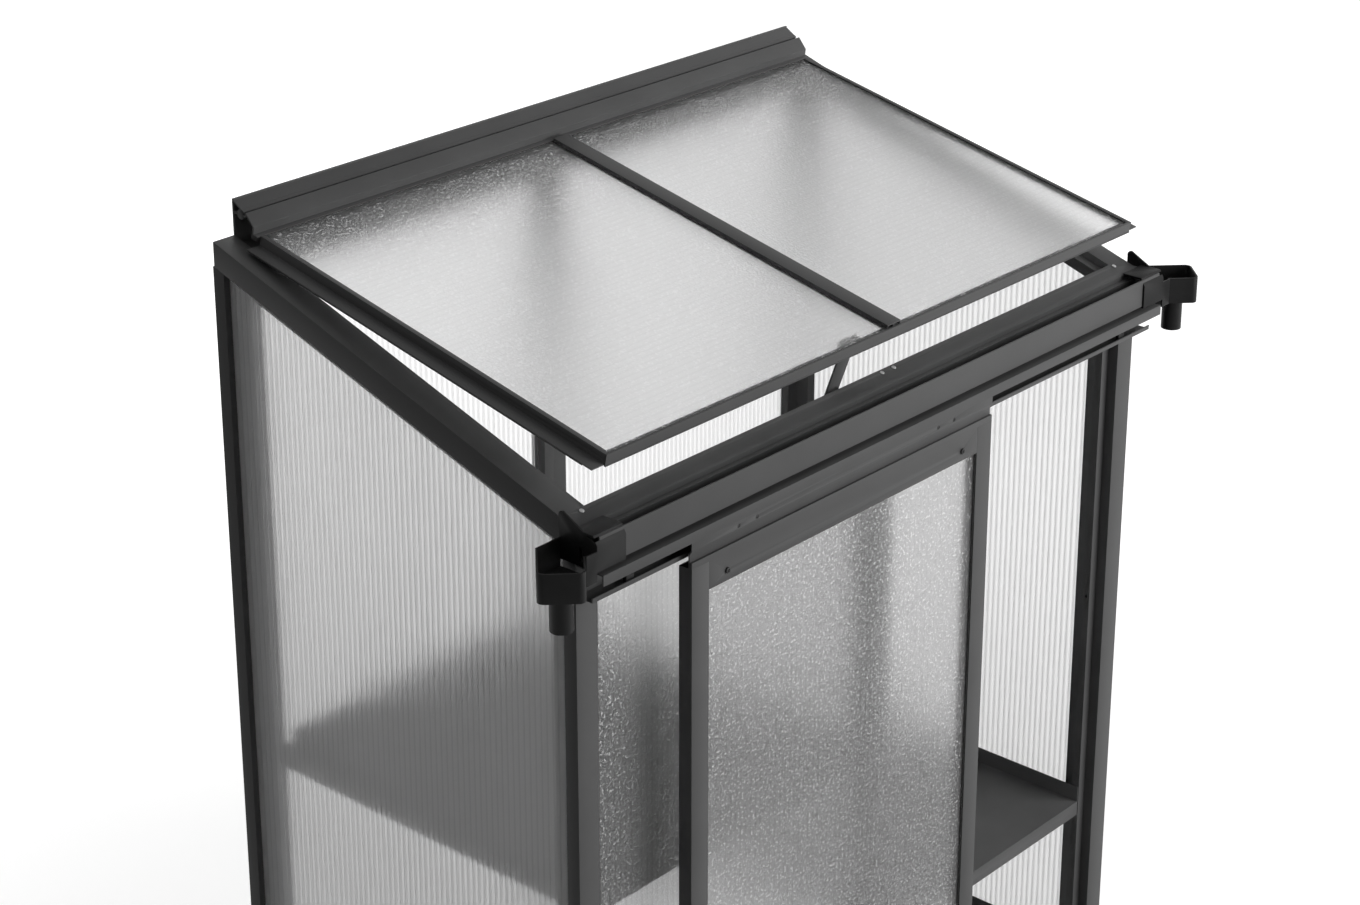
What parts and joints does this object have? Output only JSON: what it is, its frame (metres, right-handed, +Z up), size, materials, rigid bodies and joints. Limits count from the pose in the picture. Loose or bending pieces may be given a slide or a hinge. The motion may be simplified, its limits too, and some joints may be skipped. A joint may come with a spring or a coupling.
{
  "type": "balcony greenhouse",
  "caption": "Lean-to balcony greenhouse with twin-wall sides, frosted sliding door on a hanging track, hinged roof vent with stay, shelves, gutter and corner outlets.",
  "frame": {"origin": "middle of the bounding box at floor level", "axes": "+X to the right seen from the front, +Y from the door towards the wall, +Z up"},
  "size_m": [1.4936, 0.7638, 1.58],
  "materials": {
    "coated_metal": "aluminium extrusions with a fine matt anthracite powder coat",
    "black_plastic": "moulded, slightly grained",
    "rubber_seal": "matt",
    "twin_wall": "clear fluted twin-wall sheet",
    "frosted_pane": "frosted, fine sparkle",
    "steel_screws": "zinc plated"
  },
  "bodies": {
    "frame": {"base_front_sill": "coated_metal", "base_back_sill": "coated_metal", "base_left_sill": "coated_metal", "base_right_sill": "coated_metal", "front_left_post": "coated_metal", "front_right_post": "coated_metal", "back_left_post": "coated_metal", "back_right_post": "coated_metal", "front_mullion": "coated_metal", "back_mullion": "coated_metal", "left_rafter": "coated_metal", "right_rafter": "coated_metal", "eave_gutter": "coated_metal", "eave_screws": "steel_screws", "ridge_bar": "coated_metal", "door_header": "coated_metal", "left_side_panel": "twin_wall", "right_side_panel": "twin_wall", "back_left_panel": "twin_wall", "back_right_panel": "twin_wall", "front_fixed_panel": "frosted_pane", "glazing_seals": "rubber_seal", "door_track": "coated_metal", "track_screws": "steel_screws", "track_stops": "black_plastic", "floor_guide_rail": "coated_metal", "left_gutter_outlet": "black_plastic", "right_gutter_outlet": "black_plastic", "upper_shelf": "coated_metal", "lower_shelf": "coated_metal", "upper_shelf_rails": "coated_metal", "lower_shelf_rails": "coated_metal", "shelf_screws": "steel_screws", "stay_keeper": "coated_metal", "stay_knob": "black_plastic"},
    "roof_vent": {"lid_front_rail": "coated_metal", "lid_left_rail": "coated_metal", "lid_right_rail": "coated_metal", "lid_hinge_rail": "coated_metal", "lid_centre_bar": "coated_metal", "lid_left_pane": "frosted_pane", "lid_right_pane": "frosted_pane", "lid_seals": "rubber_seal", "stay_lug": "coated_metal", "stay_pin": "steel_screws"},
    "stay": {"stay_bar": "coated_metal"},
    "door": {"door_top_rail": "coated_metal", "door_bottom_rail": "coated_metal", "door_left_stile": "coated_metal", "door_right_stile": "coated_metal", "door_pane": "frosted_pane", "door_gasket": "rubber_seal", "door_hanger_plate": "coated_metal", "door_screws": "steel_screws", "door_axles": "steel_screws", "door_guide_shoes": "black_plastic"},
    "wheel_1": {"door_wheel_1": "black_plastic"},
    "wheel_2": {"door_wheel_2": "black_plastic"},
    "wheel_3": {"door_wheel_3": "black_plastic"},
    "wheel_4": {"door_wheel_4": "black_plastic"}
  },
  "joints": [
    {"name": "roof_vent_hinge", "type": "hinge", "parent": "frame", "child": "roof_vent", "pos_m": [0, 0.36391, 1.56062], "axis": [-1, 0, 0], "range_deg": [-5.85, 16]},
    {"name": "stay_pivot", "type": "hinge", "parent": "roof_vent", "child": "stay", "pos_m": [-0.077, -0.29803, 1.38069], "axis": [1, 0, 0], "range_deg": [-3, 8.1]},
    {"name": "door_slide", "type": "slide", "parent": "frame", "child": "door", "axis": [1, 0, 0], "range_m": [-0.1687, 0.4417]},
    {"name": "wheel_1_spin", "type": "hinge", "parent": "door", "child": "wheel_1", "pos_m": [-0.377, -0.33659, 1.22677], "axis": [0, 1, 0], "continuous": true},
    {"name": "wheel_2_spin", "type": "hinge", "parent": "door", "child": "wheel_2", "pos_m": [-0.339, -0.33659, 1.22677], "axis": [0, 1, 0], "continuous": true},
    {"name": "wheel_3_spin", "type": "hinge", "parent": "door", "child": "wheel_3", "pos_m": [0.066, -0.33659, 1.22677], "axis": [0, 1, 0], "continuous": true},
    {"name": "wheel_4_spin", "type": "hinge", "parent": "door", "child": "wheel_4", "pos_m": [0.104, -0.33659, 1.22677], "axis": [0, 1, 0], "continuous": true}
  ],
  "couplings": [
    {"joint": "stay_pivot", "follows": "roof_vent_hinge", "ratio": 0.5},
    {"joint": "wheel_1_spin", "follows": "door_slide", "rad_per_m": 72.464},
    {"joint": "wheel_2_spin", "follows": "door_slide", "rad_per_m": 72.464},
    {"joint": "wheel_3_spin", "follows": "door_slide", "rad_per_m": 72.464},
    {"joint": "wheel_4_spin", "follows": "door_slide", "rad_per_m": 72.464}
  ]
}
